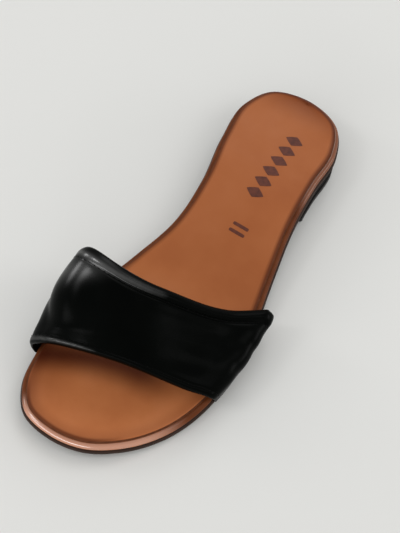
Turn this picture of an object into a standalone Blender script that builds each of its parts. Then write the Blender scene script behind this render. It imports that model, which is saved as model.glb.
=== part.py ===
"""Slide sandal for the left foot: outsole, low heel, wrapped footbed, insole and one padded strap.

Sizes are millimetres in the frame of the last: X across, medial side positive; Y along the foot from the
back of the heel; Z up from the floor. Meshes are written in metres, and a parent empty moves the finished
sandal so that the middle of its box stands over the origin.
"""

from collections import namedtuple

import bmesh
import bpy
import numpy as np

METRES = 0.001
SHARP_EDGE = np.radians(40)

# Driving dimensions of the last and the sole
LENGTH = 255.0
HEEL_LIFT = 13.0
SHANK_START = 0.22 * LENGTH
BALL_START = 0.66 * LENGTH
TOE_SPRING_START = 0.80 * LENGTH
TOE_SPRING = 4.1
HEEL_BREAST = 65.0

# Thicknesses of the layers, and the gap left between pieces that touch
OUTSOLE_THICK = 2.8
FOOTBED_THICK = 4.2
INSOLE_THICK = 1.5
TOPLIFT_THICK = 3.5
GAP = 0.3
HEEL_DISH = 1.2
HEEL_DISH_END = 0.40 * LENGTH

# Outline of the footbed: half widths each side of the line from heel to toe
HEEL_BACK_X = 4.0
TOE_TIP_X = 6.5
SoleRow = namedtuple("SoleRow", "station medial lateral")
SOLE_ROWS = (
    SoleRow(0.03, 27.2, 18.8),
    SoleRow(0.10, 35.2, 27.9),
    SoleRow(0.20, 32.8, 29.4),
    SoleRow(0.32, 26.2, 32.8),
    SoleRow(0.44, 24.8, 39.4),
    SoleRow(0.56, 31.8, 46.6),
    SoleRow(0.66, 38.2, 50.2),
    SoleRow(0.76, 41.8, 50.0),
    SoleRow(0.86, 40.4, 42.2),
    SoleRow(0.94, 34.4, 27.6),
    SoleRow(0.985, 24.4, 12.0),
)
POINTS_PER_ROW = 3
COLUMNS = 6

# Edges of the plates, from the top down: how far in from the footbed's outline and how far below the top
RimRow = namedtuple("RimRow", "inset below_top")
OUTSOLE_RIM = (
    RimRow(0.3, 0.0),
    RimRow(-0.6, 0.5),
    RimRow(-0.6, OUTSOLE_THICK - 0.5),
    RimRow(0.4, OUTSOLE_THICK),
)
FOOTBED_RIM = (
    RimRow(2.6, 0.0),
    RimRow(1.0, 0.25),
    RimRow(0.25, 1.0),
    RimRow(0.0, 2.0),
    RimRow(0.1, FOOTBED_THICK - 0.7),
    RimRow(0.6, FOOTBED_THICK),
)
INSOLE_RIM = (
    RimRow(2.7, 0.0),
    RimRow(2.2, 0.5),
    RimRow(2.4, INSOLE_THICK),
)
HEEL_TOP_INSET = 0.5
HEEL_FOOT_INSET = -0.1
TOPLIFT_INSET = -0.3
TOPLIFT_BEVEL = 0.6

# The strap's lining side: where its front and back edges stand on the sole, how high they rise above the
# outsole, and how far in from the foot of each wall its shoulder lies
StrapEdge = namedtuple(
    "StrapEdge",
    "medial_foot medial_top lateral_foot lateral_top bow medial_rise middle_rise lateral_rise"
    " medial_inset lateral_inset lateral_bulge",
)
STRAP_FRONT = StrapEdge(
    medial_foot=219.0,
    medial_top=221.0,
    lateral_foot=188.5,
    lateral_top=192.5,
    bow=5.5,
    medial_rise=19.5,
    middle_rise=32.0,
    lateral_rise=18.5,
    medial_inset=6.5,
    lateral_inset=14.0,
    lateral_bulge=1.0,
)
STRAP_BACK = StrapEdge(
    medial_foot=165.0,
    medial_top=173.5,
    lateral_foot=137.5,
    lateral_top=137.5,
    bow=15.5,
    medial_rise=49.0,
    middle_rise=43.0,
    lateral_rise=21.0,
    medial_inset=5.3,
    lateral_inset=14.0,
    lateral_bulge=6.0,
)
STRAP_WIDTH = 56.0
MEDIAL_PINCH = 7.0
PINCH_PLACE = 0.25
PINCH_SPREAD = 0.20
WALL_SHARE = 0.62
WALL_INSET = 0.25
MEDIAL_REACH = 2.8
LATERAL_REACH = 3.4
STRAP_THICK = 4.6
WALL_THICK = 1.8
WALL_GAP = 0.4
THICKEN_START = 8.0
THICKEN_END = 18.0
MARGIN_WIDTH = 12.0
MARGIN_THICK = 1.2
FOOT_RISE = 2.0
FOOT_ROUND = 1.0
SPANS_PER_KNOT = 7
SEAT_CLEAR = 0.9
SEAT_OVERHANG = 4.0
SEAT_ROWS = 12

# Across the strap's width, from either edge: how far in each row lies and how full the padding is there
PadRow = namedtuple("PadRow", "from_edge fullness")
PAD_ROWS = (
    PadRow(0.0, 0.70),
    PadRow(1.6, 0.88),
    PadRow(3.2, 0.84),
    PadRow(4.6, 0.76),
    PadRow(7.5, 0.88),
    PadRow(13.0, 1.0),
)
MIDDLE_SHARES = (0.36, 0.5, 0.64)
EDGE_ROUND = 0.42

TAN_LEATHER = (0.36, 0.135, 0.055)
RIM_LEATHER = (0.045, 0.018, 0.011)
BLACK_LEATHER = (0.012, 0.012, 0.013)
SOLE_RUBBER = (0.035, 0.022, 0.018)
HEEL_LACQUER = (0.010, 0.009, 0.009)


def smoothstep(share):
    share = np.clip(share, 0.0, 1.0)
    return share * share * (3.0 - 2.0 * share)


def curve_through(knots, per_span, closed=False):
    """Points of a smooth curve through the knots, the same number in each span."""
    knots = np.asarray(knots, float)
    if closed:
        knots = np.vstack([knots[-1], knots, knots[:2]])
    steps = np.linalg.norm(np.diff(knots, axis=0), axis=1)[:, None]
    secants = np.diff(knots, axis=0) / steps
    slopes = np.empty_like(knots)
    slopes[1:-1] = (secants[:-1] * steps[1:] + secants[1:] * steps[:-1]) / (steps[1:] + steps[:-1])
    slopes[0] = 2.0 * secants[0] - slopes[1]
    slopes[-1] = 2.0 * secants[-1] - slopes[-2]
    t = np.linspace(0.0, 1.0, per_span, endpoint=False)[:, None]
    spans = range(1, len(knots) - 2) if closed else range(len(knots) - 1)
    points = [
        (1 + 2 * t) * (1 - t) ** 2 * knots[i]
        + t * (1 - t) ** 2 * steps[i] * slopes[i]
        + t * t * (3 - 2 * t) * knots[i + 1]
        + t * t * (t - 1) * steps[i] * slopes[i + 1]
        for i in spans
    ]
    if not closed:
        points.append(knots[-1:])
    return np.vstack(points)


def sole_outline(per_row):
    """The footbed's outline from the back of the heel up the medial side, round the toe and back."""
    medial = [(row.medial, row.station * LENGTH) for row in SOLE_ROWS]
    lateral = [(-row.lateral, row.station * LENGTH) for row in reversed(SOLE_ROWS)]
    knots = [(HEEL_BACK_X, 0.0), *medial, (TOE_TIP_X, LENGTH), *lateral]
    return curve_through(knots, per_row, closed=True)


def inward_normals(loop):
    """Unit normals that point into an anticlockwise loop."""
    along = np.roll(loop, -1, axis=0) - np.roll(loop, 1, axis=0)
    along /= np.linalg.norm(along, axis=1)[:, None]
    return np.stack([-along[:, 1], along[:, 0]], axis=1)


def sole_lift(along):
    """Height of the outsole's underside above the floor: heel, shank, flat ball and toe spring."""
    pitch = 1.0 - smoothstep((along - SHANK_START) / (BALL_START - SHANK_START))
    spring = np.clip((along - TOE_SPRING_START) / (LENGTH - TOE_SPRING_START), 0.0, None)
    return HEEL_LIFT * pitch + TOE_SPRING * spring**2


def outsole_top(along):
    return sole_lift(along) + OUTSOLE_THICK


def footbed_low(along):
    return outsole_top(along) + GAP


def footbed_top(along):
    return footbed_low(along) + FOOTBED_THICK


def insole_low(along):
    return footbed_top(along) + GAP


def insole_top(along):
    return insole_low(along) + INSOLE_THICK


def heel_dish(across, along):
    """Depth of the soft hollow under the heel, deepest on the middle line."""
    return HEEL_DISH * (1.0 - across**2) * (1.0 - smoothstep(along / HEEL_DISH_END))


# Dense outline, for reading the sole's edge at any place along the foot
READ_PER_ROW = 24
READ_LOOP = sole_outline(READ_PER_ROW)
READ_NORMALS = inward_normals(READ_LOOP)
TOE_INDEX = (len(SOLE_ROWS) + 1) * READ_PER_ROW
EDGE_READ = {
    "medial": (READ_LOOP[: TOE_INDEX + 1], READ_NORMALS[: TOE_INDEX + 1]),
    "lateral": (READ_LOOP[TOE_INDEX:][::-1], READ_NORMALS[TOE_INDEX:][::-1]),
}


def edge_x(side, along, outward=0.0):
    """X of the footbed's edge at a place along the foot, moved outward square to the edge."""
    loop, normals = EDGE_READ[side]
    x = np.interp(along, loop[:, 1], loop[:, 0])
    lean = np.interp(along, loop[:, 1], normals[:, 0])
    return x - outward / lean


def principled(name, colour, roughness, coat=0.0):
    material = bpy.data.materials.new(name)
    material.use_nodes = True
    shader = material.node_tree.nodes["Principled BSDF"]
    shader.inputs["Base Color"].default_value = (*colour, 1.0)
    shader.inputs["Roughness"].default_value = roughness
    shader.inputs["Metallic"].default_value = 0.0
    shader.inputs["Coat Weight"].default_value = coat
    return material


def solid_from(name, points, faces, material):
    """A closed mesh object from points in millimetres, with its faces turned outward."""
    work = bmesh.new()
    corners = [work.verts.new(point * METRES) for point in points]
    for face in faces:
        work.faces.new([corners[i] for i in face])
    bmesh.ops.recalc_face_normals(work, faces=work.faces)
    mesh = bpy.data.meshes.new(name)
    work.to_mesh(mesh)
    work.free()
    mesh.materials.append(material)
    mesh.shade_smooth()
    mesh.set_sharp_from_angle(angle=SHARP_EDGE)
    piece = bpy.data.objects.new(name, mesh)
    bpy.context.scene.collection.objects.link(piece)
    return piece


def below(surface, drop):
    """A height along the foot, a fixed drop under another one."""
    return lambda along: surface(along) - drop


def flat(height):
    return lambda along: np.full_like(along, height)


def close_over(points, faces, start, count, height, dish):
    """Closes the ring of points from start with rows across the foot that follow the sole's curve."""
    half = count // 2
    rows = []
    for i in range(1, half):
        medial, lateral = points[start + i], points[start + count - i]
        row = [start + i]
        for share in np.linspace(0.0, 1.0, COLUMNS + 1)[1:-1]:
            x, along = (medial + (lateral - medial) * share)[:2]
            drop = dish(2.0 * share - 1.0, along) if dish else 0.0
            row.append(len(points))
            points.append(np.array([x, along, height(along) - drop]))
        rows.append([*row, start + count - i])
    for near, far in zip(rows[:-1], rows[1:]):
        for k in range(COLUMNS):
            faces.append((near[k], near[k + 1], far[k + 1], far[k]))
    for k in range(COLUMNS):
        faces.append((start, rows[0][k + 1], rows[0][k]))
        faces.append((start + half, rows[-1][k], rows[-1][k + 1]))


def slab(name, levels, material, dish=None):
    """A plate of the sole. Each level, top first, is an inset and a height along the foot."""
    loop = sole_outline(POINTS_PER_ROW)
    normals = inward_normals(loop)
    count = len(loop)
    points, faces = [], []
    for inset, height in levels:
        ring = loop + normals * inset
        points.extend(np.column_stack([ring, height(ring[:, 1])]))
    underside = len(points) - count
    for upper in range(0, underside, count):
        lower = upper + count
        for i in range(count):
            j = (i + 1) % count
            faces.append((upper + i, upper + j, lower + j, lower + i))
    close_over(points, faces, 0, count, levels[0][1], dish)
    close_over(points, faces, underside, count, levels[-1][1], None)
    return solid_from(name, points, faces, material)


def plate(name, rim, top, material, dish=None):
    """A slab of even thickness under a curved top, with its edge from a table of rim rows."""
    levels = [(row.inset, below(top, row.below_top)) for row in rim]
    return slab(name, levels, material, dish)


def make_outsole():
    """Thin rubber sheet that runs under the whole sandal and stands a little proud of the footbed."""
    return plate("outsole", OUTSOLE_RIM, outsole_top, principled("sole_rubber", SOLE_RUBBER, 0.55))


def make_footbed():
    """Board wrapped in leather, whose rounded rim, polished dark brown, shows all round the sandal."""
    rim_leather = principled("rim_leather", RIM_LEATHER, 0.25, coat=0.6)
    return plate("footbed", FOOTBED_RIM, footbed_top, rim_leather, heel_dish)


def make_insole():
    """Leather sock laid on the footbed just inside its rim."""
    tan_leather = principled("tan_leather", TAN_LEATHER, 0.45)
    return plate("insole", INSOLE_RIM, insole_top, tan_leather, heel_dish)


def cut_at_breast(piece):
    """Keeps the part of a full-length slab behind the heel's front face."""
    work = bmesh.new()
    work.from_mesh(piece.data)
    everything = [*work.verts, *work.edges, *work.faces]
    cut = bmesh.ops.bisect_plane(
        work,
        geom=everything,
        dist=1e-7,
        plane_co=(0.0, HEEL_BREAST * METRES, 0.0),
        plane_no=(0.0, 1.0, 0.0),
        clear_outer=True,
    )
    rim = [item for item in cut["geom_cut"] if isinstance(item, bmesh.types.BMEdge)]
    bmesh.ops.contextual_create(work, geom=rim)
    bmesh.ops.recalc_face_normals(work, faces=work.faces)
    work.to_mesh(piece.data)
    work.free()
    piece.data.set_sharp_from_angle(angle=SHARP_EDGE)
    return piece


def make_heel_block():
    """Low lacquered block under the back of the outsole, widening a little towards the floor."""
    levels = (
        (HEEL_TOP_INSET, below(sole_lift, GAP)),
        (HEEL_FOOT_INSET, flat(TOPLIFT_THICK + GAP)),
    )
    lacquer = principled("heel_lacquer", HEEL_LACQUER, 0.25)
    return cut_at_breast(slab("heel_block", levels, lacquer))


def make_heel_toplift():
    """Rubber top piece that the heel walks on."""
    levels = (
        (TOPLIFT_INSET, flat(TOPLIFT_THICK)),
        (TOPLIFT_INSET, flat(TOPLIFT_BEVEL)),
        (TOPLIFT_INSET + TOPLIFT_BEVEL, flat(0.0)),
    )
    rubber = principled("heel_rubber", SOLE_RUBBER, 0.6)
    return cut_at_breast(slab("heel_toplift", levels, rubber))


def strap_edge(share):
    """The strap's measures between its front edge, share 0, and its back edge, share 1."""
    return StrapEdge(*(f + (b - f) * share for f, b in zip(STRAP_FRONT, STRAP_BACK)))


def strap_line(share):
    """The strap's lining side at one place across its width, from the medial foot to the lateral."""
    edge = strap_edge(share)
    pinch = MEDIAL_PINCH * np.exp(-(((share - PINCH_PLACE) / PINCH_SPREAD) ** 2))
    medial_inset = edge.medial_inset + pinch
    medial_low = footbed_low(edge.medial_top)
    lateral_low = footbed_low(edge.lateral_top)
    medial = edge_x("medial", edge.medial_top, MEDIAL_REACH)
    lateral = edge_x("lateral", edge.lateral_top, LATERAL_REACH)
    middle = (medial + lateral) / 2.0
    knots = (
        (edge_x("medial", edge.medial_foot, WALL_GAP), footbed_low(edge.medial_foot) + FOOT_RISE),
        (medial - WALL_INSET * medial_inset, medial_low + WALL_SHARE * edge.medial_rise),
        (medial - medial_inset, medial_low + edge.medial_rise),
        (middle, (medial_low + lateral_low) / 2.0 + edge.middle_rise),
        (lateral + edge.lateral_inset, lateral_low + edge.lateral_rise),
        (
            lateral + WALL_INSET * edge.lateral_inset - edge.lateral_bulge,
            lateral_low + WALL_SHARE * edge.lateral_rise,
        ),
        (edge_x("lateral", edge.lateral_foot, WALL_GAP), footbed_low(edge.lateral_foot) + FOOT_RISE),
    )
    x, height = curve_through(knots, SPANS_PER_KNOT).T
    side = np.clip((x - middle) / (medial - middle), -1.0, 1.0)
    centre = (edge.medial_top + edge.lateral_top) / 2.0
    slant = (edge.medial_top - edge.lateral_top) / 2.0
    along = centre + slant * side + edge.bow * (1.0 - side**2)
    walls = (
        (0, side, edge.medial_foot, edge.medial_rise),
        (-1, -side, edge.lateral_foot, edge.lateral_rise),
    )
    for end, towards, foot, rise in walls:
        down_wall = np.clip(1.0 - (height - height[end]) / rise, 0.0, 1.0) ** 2
        along = along + (foot - along[end]) * down_wall * smoothstep(towards) / smoothstep(towards[end])
    return np.column_stack([x, along, height])


def strap_rows():
    """Shares of the strap's width for its rows of points, and the padding's fullness in each row."""
    front = [(row.from_edge / STRAP_WIDTH, row.fullness) for row in PAD_ROWS]
    middle = [(share, 1.0) for share in MIDDLE_SHARES]
    back = [(1.0 - share, fullness) for share, fullness in reversed(front)]
    return front + middle + back


def unit(vectors):
    return vectors / np.linalg.norm(vectors, axis=-1, keepdims=True)


def strap_surfaces():
    """Outer and inner grids of the arch, rows across the strap's width and columns across the foot."""
    rows = strap_rows()
    lining = np.array([strap_line(share) for share, _ in rows])
    across_foot = np.gradient(lining, axis=1)
    across_width = np.gradient(lining, axis=0)
    outward = unit(np.cross(across_foot, across_width))
    above = lining[:, :, 2] - footbed_low(lining[:, :, 1])
    padding = smoothstep((above - THICKEN_START) / (THICKEN_END - THICKEN_START))
    fullness = np.array([full for _, full in rows])[:, None]
    full_thick = WALL_THICK + (STRAP_THICK - WALL_THICK) * padding
    sunk = (1.0 - fullness) * full_thick * padding
    inner = lining + outward * (sunk / 2.0)[:, :, None]
    outer = inner + outward * (full_thick - sunk)[:, :, None]
    return outer, inner


def strap_margin(side, share):
    """The skived edge of the strap, from its tip under the footbed out to the foot of the wall.

    Gives the points of its lower and upper faces, which run on into the outer and inner surfaces.
    """
    edge = strap_edge(share)
    along = edge.medial_foot if side == "medial" else edge.lateral_foot
    low = footbed_low(along)
    reach = WALL_GAP + WALL_THICK
    lower = (
        (-MARGIN_WIDTH, 0.0),
        (-MARGIN_WIDTH / 2.0, 0.0),
        (0.0, 0.0),
        (reach - FOOT_ROUND, 0.0),
        (reach - 0.3 * FOOT_ROUND, 0.5 * FOOT_ROUND),
    )
    upper = (
        (-MARGIN_WIDTH, MARGIN_THICK),
        (-MARGIN_WIDTH / 2.0, MARGIN_THICK),
        (0.0, MARGIN_THICK),
        (WALL_GAP - 0.2 * FOOT_ROUND, MARGIN_THICK + 0.2 * FOOT_ROUND),
        (WALL_GAP, MARGIN_THICK + 0.5 * FOOT_ROUND),
    )
    return [
        np.array([(edge_x(side, along, outward), along, low + rise) for outward, rise in face])
        for face in (lower, upper)
    ]


def rounded_edge(outer, inner, step_out):
    """Two points that round the strap's cut edge between its outer and inner surface."""
    swell = step_out * np.linalg.norm(inner - outer) * EDGE_ROUND
    return [outer + (inner - outer) * share + swell for share in (0.28, 0.72)]


def make_strap():
    """The padded band: an arch over the foot whose two margins are lasted under the footbed."""
    shares = [share for share, _ in strap_rows()]
    arch_outer, arch_inner = strap_surfaces()
    outer, inner = [], []
    for row, share in enumerate(shares):
        medial_lower, medial_upper = strap_margin("medial", share)
        lateral_lower, lateral_upper = strap_margin("lateral", share)
        outer.append(np.vstack([medial_lower, arch_outer[row], lateral_lower[::-1]]))
        inner.append(np.vstack([medial_upper, arch_inner[row], lateral_upper[::-1]]))
    outer, inner = np.array(outer), np.array(inner)
    forward = unit(outer[0] - outer[1])
    backward = unit(outer[-1] - outer[-2])
    last = len(shares) - 1
    points, rings = [], []
    for column in range(outer.shape[1]):
        ring = [outer[row, column] for row in range(last + 1)]
        ring += rounded_edge(outer[last, column], inner[last, column], backward[column])
        ring += [inner[row, column] for row in range(last, -1, -1)]
        ring += rounded_edge(inner[0, column], outer[0, column], forward[column])
        rings.append(range(len(points), len(points) + len(ring)))
        points.extend(ring)
    size = len(rings[0])
    faces = [
        (near[k], near[(k + 1) % size], far[(k + 1) % size], far[k])
        for near, far in zip(rings[:-1], rings[1:])
        for k in range(size)
    ]
    for ring in (rings[0], rings[-1]):
        for row in range(last):
            mirror = 2 * last + 3 - row
            faces.append((ring[row], ring[row + 1], ring[mirror - 1], ring[mirror]))
        faces.append((ring[last], ring[last + 1], ring[last + 2], ring[last + 3]))
        faces.append((ring[2 * last + 3], ring[2 * last + 4], ring[2 * last + 5], ring[0]))
    return solid_from("strap", points, faces, principled("black_leather", BLACK_LEATHER, 0.4))


def cut_margin_seats(footbed):
    """Shallow seats in the footbed's underside that take the strap's lasted margins."""
    for side in ("medial", "lateral"):
        front = getattr(STRAP_FRONT, f"{side}_foot") + SEAT_CLEAR
        back = getattr(STRAP_BACK, f"{side}_foot") - SEAT_CLEAR
        points = []
        for along in np.linspace(back, front, SEAT_ROWS):
            outer_x = edge_x(side, along, SEAT_OVERHANG)
            inner_x = edge_x(side, along, -MARGIN_WIDTH - SEAT_CLEAR)
            low = outsole_top(along) - GAP
            high = footbed_low(along) + MARGIN_THICK + GAP
            corners = ((outer_x, low), (inner_x, low), (inner_x, high), (outer_x, high))
            points += [(x, along, z) for x, z in corners]
        faces = [(0, 1, 2, 3), tuple(range(len(points) - 4, len(points)))]
        for row in range(SEAT_ROWS - 1):
            for k in range(4):
                near, far = 4 * row, 4 * row + 4
                faces.append((near + k, near + (k + 1) % 4, far + (k + 1) % 4, far + k))
        seat = solid_from(f"{side}_margin_seat", np.array(points), faces, footbed.data.materials[0])
        seat.hide_render = True
        seat.display_type = "WIRE"
        cut = footbed.modifiers.new(f"{side}_margin", "BOOLEAN")
        cut.operation = "DIFFERENCE"
        cut.object = seat


def stand_over_origin(pieces):
    """Parents the pieces to an empty that puts the middle of their box over the origin."""
    corners = np.vstack([[corner.co for corner in piece.data.vertices] for piece in pieces])
    middle = (corners.min(axis=0) + corners.max(axis=0)) / 2.0
    frame = bpy.data.objects.new("sandal_frame", None)
    frame.location = (-middle[0], -middle[1], -corners[:, 2].min())
    bpy.context.scene.collection.objects.link(frame)
    for piece in bpy.context.scene.objects:
        if piece is not frame:
            piece.parent = frame


def main():
    for leftover in list(bpy.data.objects):
        bpy.data.objects.remove(leftover)
    footbed = make_footbed()
    cut_margin_seats(footbed)
    pieces = [make_outsole(), footbed, make_insole(), make_heel_block(), make_heel_toplift(), make_strap()]
    stand_over_origin(pieces)


main()
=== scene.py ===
# %% [markdown]
# # Dressing a slide sandal
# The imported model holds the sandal's plain solids: outsole, heel, footbed, insole and strap. This lesson
# makes a finer mesh for each of them from the same sizes, so that nothing moves, and gives each the
# leather, rubber or lacquer of the real piece. Everything is in metres, on the same floor as the solids.

# %% Load the packed sandal as a fixed frame
import math

import bmesh
import bpy
import numpy as np
from mathutils import Matrix, Vector


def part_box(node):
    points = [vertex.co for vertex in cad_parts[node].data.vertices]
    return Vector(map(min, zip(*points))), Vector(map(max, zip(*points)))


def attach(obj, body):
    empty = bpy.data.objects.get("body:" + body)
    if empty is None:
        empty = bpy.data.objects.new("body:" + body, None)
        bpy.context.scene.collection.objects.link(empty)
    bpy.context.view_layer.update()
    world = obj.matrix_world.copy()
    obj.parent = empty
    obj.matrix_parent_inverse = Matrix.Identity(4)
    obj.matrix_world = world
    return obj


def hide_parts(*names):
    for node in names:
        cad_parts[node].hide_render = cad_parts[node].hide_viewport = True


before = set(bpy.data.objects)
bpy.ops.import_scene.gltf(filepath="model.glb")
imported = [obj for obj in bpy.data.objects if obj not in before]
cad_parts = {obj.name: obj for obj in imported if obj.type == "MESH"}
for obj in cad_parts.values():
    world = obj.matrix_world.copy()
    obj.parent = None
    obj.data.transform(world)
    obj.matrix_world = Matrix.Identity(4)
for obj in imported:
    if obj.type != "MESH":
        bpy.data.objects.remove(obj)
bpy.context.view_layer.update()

print("nodes in the frame:", ", ".join(sorted(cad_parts)))

# %% [markdown]
# ## The camera
# The photograph looks down on the toe from standing height, on the outer side of the foot. A constraint
# could aim the camera, but it would keep the horizon level. Here the photograph's own viewing direction is
# turned by the shortest way onto the sandal, which keeps the sandal's slant in the picture.

# %% Camera
MM = 0.001
CAMERA_EYE = Vector((-161.2, 324.0, 607.4)) * MM
PHOTO_LOOK = Vector((0.3590, -0.4994, -0.7885))
PHOTO_UP = Vector((0.4614, -0.6394, 0.6150))
CAMERA_AIM = Vector((0.0, 4.0, 16.0)) * MM
CAMERA_LENS = 86.0
CAMERA_NEAR = 10.0 * MM


def make_camera():
    look = (CAMERA_AIM - CAMERA_EYE).normalized()
    up = PHOTO_LOOK.rotation_difference(look) @ PHOTO_UP
    right = look.cross(up).normalized()
    up = right.cross(look)
    turn = Matrix((right, up, -look)).transposed().to_4x4()
    camera = bpy.data.objects.new("camera", bpy.data.cameras.new("camera"))
    camera.data.lens = CAMERA_LENS
    camera.data.clip_start = CAMERA_NEAR
    camera.matrix_world = Matrix.Translation(CAMERA_EYE) @ turn
    bpy.context.scene.collection.objects.link(camera)
    bpy.context.scene.camera = camera


make_camera()
print("camera stands", round((CAMERA_AIM - CAMERA_EYE).length, 3), "m from the sandal")

# %% [markdown]
# ## Light and floor
# The sandal stands on a matt pale floor in a white room. The world is the room: its walls throw back more
# light than its ceiling, so that the top of the strap stays black, which one even world would grey. Area
# lamps are the windows. A large one behind the heel lets the strap shade the toes; a wide low one in front
# shines in the toe's rim and the strap's back roll; small ones shine in the strap's shoulder, its outer
# side and the heel's rim. The standard view transform keeps blacks deep.

# %% Light
WALL_LIGHT = 0.69
CEILING_LIGHT = 0.55
WALL_TOP = 0.55
CEILING_EDGE = 0.90
ROOM_WHITE = (1.0, 1.0, 0.985, 1.0)
WINDOWS = (
    # name, place, size, power
    ("window", (1.26, 0.31, 0.50), (0.32, 0.32), 1.3),
    ("high_window", (0.72, 0.65, 1.01), (0.30, 0.30), 1.5),
    ("toe_window", (0.25, 2.50, 0.45), (3.6, 0.80), 30.0),
    ("heel_window", (0.15, -1.90, 1.90), (1.6, 1.6), 16.0),
    ("side_window", (-1.20, -0.75, 0.25), (0.9, 0.3), 3.0),
    ("outer_window", (-0.95, -0.30, 1.00), (0.60, 0.45), 1.2),
)


def soft_lamp(name, place, size, power):
    lamp = bpy.data.lights.new(name, "AREA")
    lamp.shape = "RECTANGLE"
    lamp.size, lamp.size_y = size
    lamp.energy = power
    stand = bpy.data.objects.new(name, lamp)
    stand.location = place
    stand.rotation_euler = (-Vector(place)).to_track_quat("-Z", "Y").to_euler()
    bpy.context.scene.collection.objects.link(stand)
    return stand


def add_node(tree, kind, inputs, output, **settings):
    """One output of a new node. Each input is a value, or another node's output that is linked to it."""
    node = tree.nodes.new(f"ShaderNode{kind}")
    for name, value in settings.items():
        setattr(node, name, value)
    for name, value in inputs.items():
        if isinstance(value, bpy.types.NodeSocket):
            tree.links.new(value, node.inputs[name])
        else:
            node.inputs[name].default_value = value
    return node.outputs[output]


def make_room():
    """A white world that dims from its walls to its ceiling."""
    world = bpy.data.worlds.new("white_room")
    world.use_nodes = True
    tree = world.node_tree
    direction = add_node(tree, "TexCoord", {}, "Generated")
    dimming = {
        "Value": add_node(tree, "SeparateXYZ", {"Vector": direction}, "Z"),
        "From Min": WALL_TOP, "From Max": CEILING_EDGE, "To Min": WALL_LIGHT, "To Max": CEILING_LIGHT,
    }
    light = add_node(tree, "MapRange", dimming, "Result", interpolation_type="SMOOTHSTEP")
    background = tree.nodes["Background"]
    background.inputs["Color"].default_value = ROOM_WHITE
    tree.links.new(light, background.inputs["Strength"])
    return world


bpy.context.scene.world = make_room()
bpy.context.scene.view_settings.view_transform = "Standard"
lamps = [soft_lamp(*window) for window in WINDOWS]
print("windows:", ", ".join(f"{lamp.name} {lamp.location.length:.2f} m away" for lamp in lamps))

# %% [markdown]
# ## A start for every finish
# Each finish below is a Principled shader. What is the same all over, such as a coat's roughness, is set on
# the shader's own sockets. What changes from place to place comes from noise in the piece's own
# coordinates, sized in millimetres, or from a number stored on the piece's points, such as how worn the
# leather is there. An image could hold such marks, but numbers on the points need no unwrapping.


# %% Helpers for finishes
class Finish:
    """A material under way: its shader, and short words for the nodes that vary it."""

    def __init__(self, name, colour, roughness, specular=0.5, coat=0.0, coat_roughness=0.1):
        self.material = bpy.data.materials.new(name)
        self.material.use_nodes = True
        self.shader = self.material.node_tree.nodes["Principled BSDF"]
        self.set("Base Color", (*colour, 1.0))
        self.set("Roughness", roughness)
        self.set("Specular IOR Level", specular)
        self.set("Coat Weight", coat)
        self.set("Coat Roughness", coat_roughness)
        self.place = self.add("TexCoord", {}, "Object")
        self.bumped = None

    def set(self, socket, value):
        self.shader.inputs[socket].default_value = value

    def vary(self, socket, output):
        self.material.node_tree.links.new(output, self.shader.inputs[socket])

    def add(self, kind, inputs, output, **settings):
        return add_node(self.material.node_tree, kind, inputs, output, **settings)

    def stretched(self, factors):
        """The piece's coordinates, squeezed so that a pattern runs longer one way than another."""
        return self.add("Mapping", {"Scale": factors, "Vector": self.place}, "Vector")

    def noise(self, size_mm, detail=3.0, place=None):
        inputs = {"Scale": 1.0 / (size_mm * MM), "Detail": detail, "Vector": place or self.place}
        return self.add("TexNoise", inputs, "Fac")

    def cells(self, size_mm):
        inputs = {"Scale": 1.0 / (size_mm * MM), "Vector": self.place}
        return self.add("TexVoronoi", inputs, "Distance", feature="SMOOTH_F1")

    def ranged(self, value, low, high, start=0.3, end=0.7):
        """A value between start and end, spread between low and high."""
        spans = {"From Min": start, "From Max": end, "To Min": low, "To Max": high}
        return self.add("MapRange", {"Value": value, **spans}, "Result")

    def colours(self, value, *stops):
        """A colour ramp: each stop is a place from 0 to 1 and a colour."""
        blend = self.add("ValToRGB", {"Fac": value}, "Color")
        ramp = blend.node.color_ramp
        while len(ramp.elements) < len(stops):
            ramp.elements.new(0.5)
        for element, (position, colour) in zip(ramp.elements, stops):
            element.position = position
            element.color = (*colour, 1.0)
        return blend

    def marked(self, name):
        """A number that is stored on the piece's points."""
        return self.add("Attribute", {}, "Fac", attribute_name=name)

    def blended(self, share, colour, other):
        """A colour output that turns into another, plain colour as the share rises to 1."""
        inputs = {"Factor": share, "A": colour, "B": (*other, 1.0)}
        return self.add("Mix", inputs, "Result", data_type="RGBA")

    def wander(self, size_mm, low, high):
        """Lets the roughness change slowly from place to place."""
        self.vary("Roughness", self.ranged(self.noise(size_mm), low, high))

    def mottle(self, size_mm, *stops):
        """Lets the colour change slowly from place to place."""
        self.vary("Base Color", self.colours(self.noise(size_mm), *stops))

    def bump(self, height, depth_mm, strength):
        """Adds a height to the surface, on top of any bump that is there."""
        inputs = {"Height": height, "Distance": depth_mm * MM, "Strength": strength}
        if self.bumped:
            inputs["Normal"] = self.bumped
        self.bumped = self.add("Bump", inputs, "Normal")
        self.vary("Normal", self.bumped)


# %% Floor
FLOOR_RADIUS = 8.0
FLOOR_DROP = 0.2 * MM
FLOOR_COLOUR = (0.765, 0.765, 0.750)


def make_floor():
    finish = Finish("pale_floor", FLOOR_COLOUR, roughness=0.8, specular=0.0)
    finish.wander(size_mm=60.0, low=0.75, high=0.9)
    bpy.ops.mesh.primitive_circle_add(vertices=96, radius=FLOOR_RADIUS, fill_type="NGON")
    floor = bpy.context.object
    floor.name = "floor"
    floor.location.z = -FLOOR_DROP
    floor.data.materials.append(finish.material)


make_floor()
print("floor radius", FLOOR_RADIUS, "m")

# %% [markdown]
# ## The last and the sole's outline
# A shoemaker works from a last, the form of the foot. Its sizes are in millimetres, from the back of the
# heel, with the inner (medial) side positive. The half widths below are the ones that the solids were made
# from, and a smooth curve through them is the footbed's outline. The footbed's box in the frame then tells
# where the last stands.

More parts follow.
